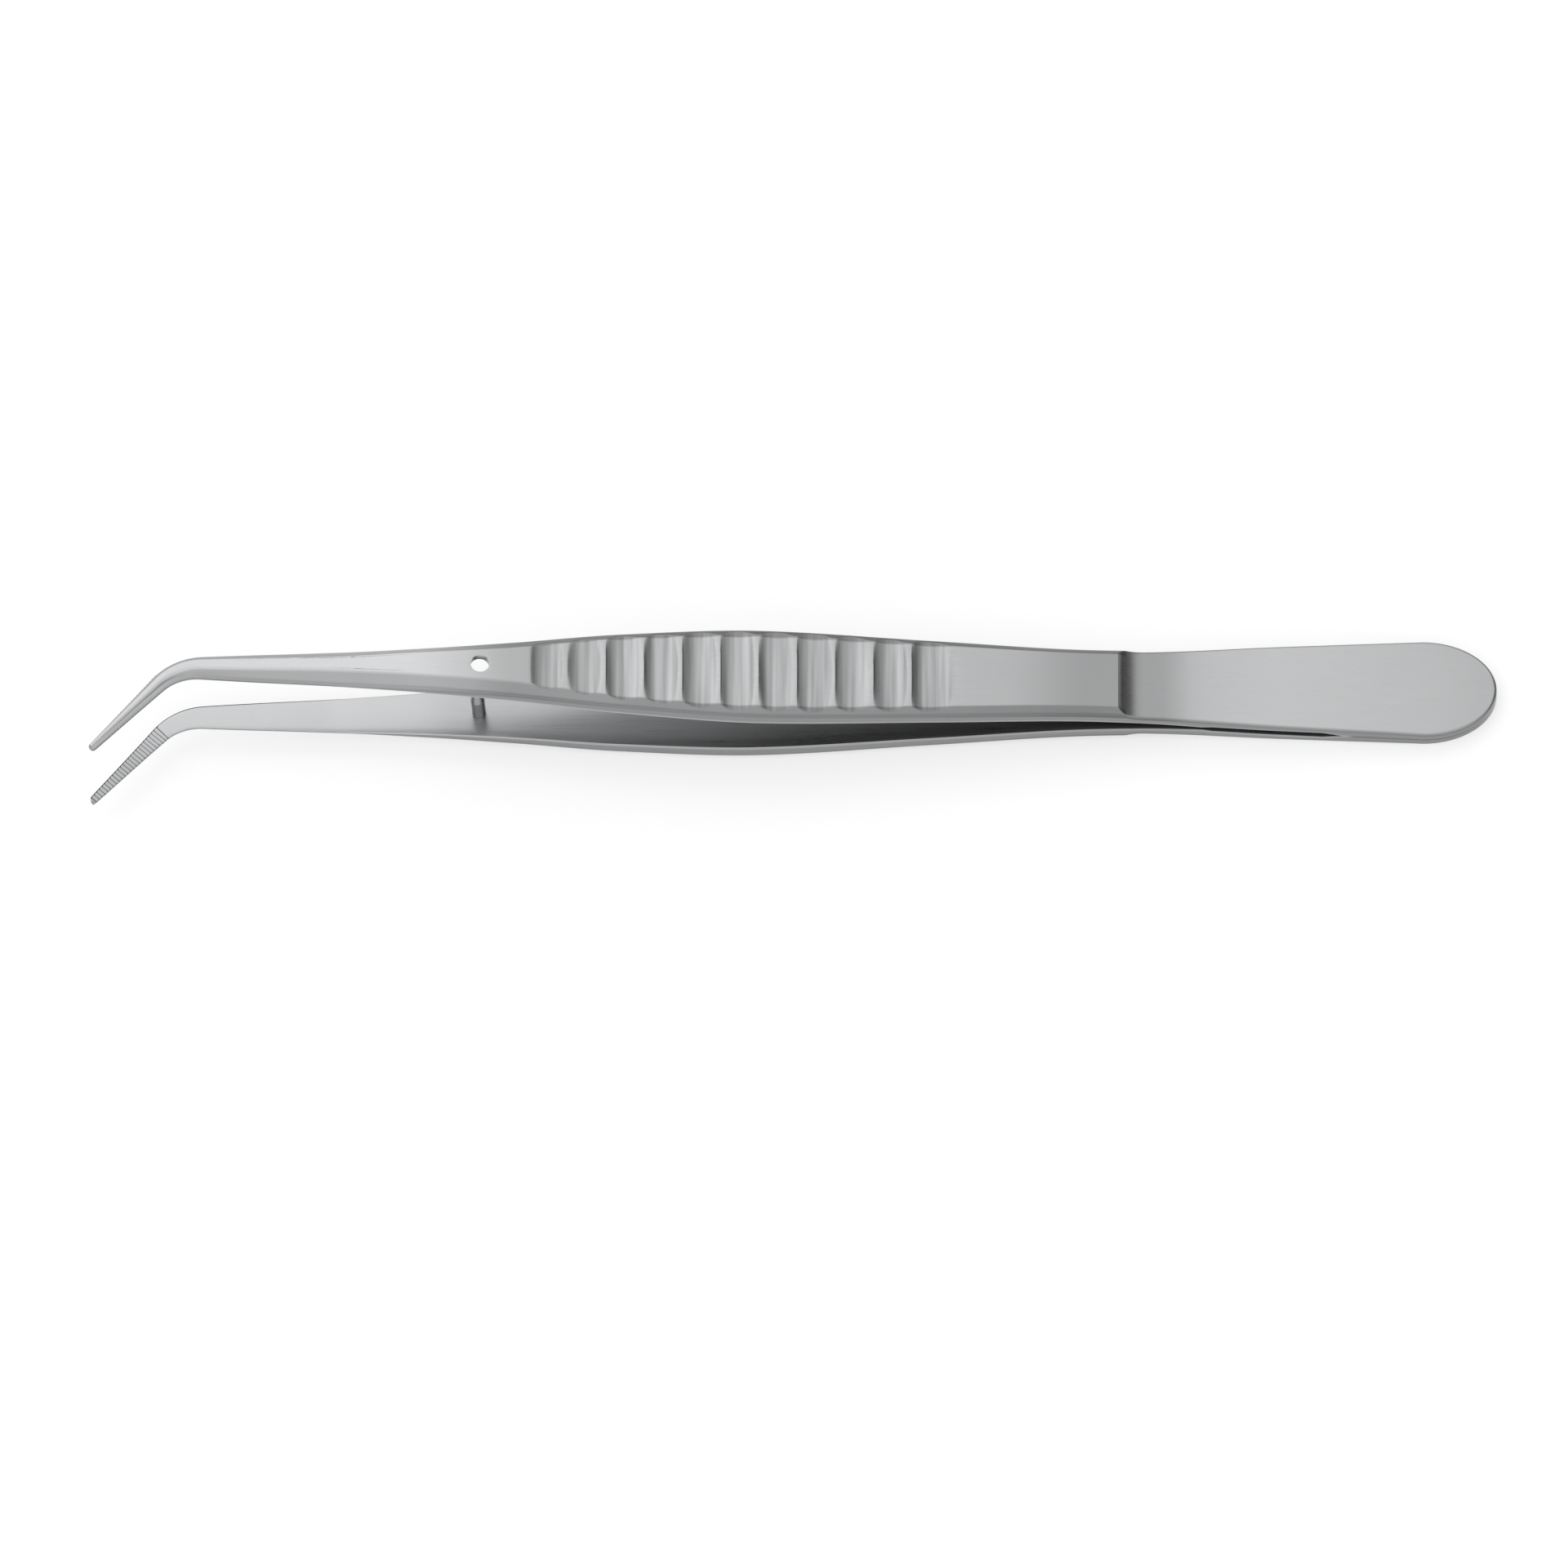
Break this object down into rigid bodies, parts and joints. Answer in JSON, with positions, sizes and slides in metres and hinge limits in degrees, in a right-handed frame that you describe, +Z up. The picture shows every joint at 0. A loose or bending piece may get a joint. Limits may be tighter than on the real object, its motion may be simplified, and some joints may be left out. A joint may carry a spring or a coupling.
{
  "type": "angled tweezers",
  "caption": "Angled dental tweezers of satin steel, with fluted grips, serrated jaws bent to one side, and a guide pin that enters a hole in the other arm.",
  "frame": {"origin": "centre of the bounding box at floor level, with the tweezers lying on the outside of the arm that carries the guide pin", "axes": "+X from the jaws to the butt, -Y the way the jaws bend, +Z up, from the lower arm to the upper one"},
  "size_m": [0.1602, 0.0168, 0.0168],
  "materials": {
    "arm_steel": "satin",
    "pin_steel": "satin, turned"
  },
  "bodies": {
    "pin_side": {"pin_arm": "arm_steel", "guide_pin": "pin_steel"},
    "hole_side": {"hole_arm": "arm_steel"}
  },
  "joints": [
    {"name": "arm_flex", "type": "hinge", "parent": "pin_side", "child": "hole_side", "pos_m": [0.05014, 0.00237, 0.00262], "axis": [0, -1, 0], "range_deg": [0, 5.4], "stiffness_Nm_per_rad": 2.4}
  ]
}
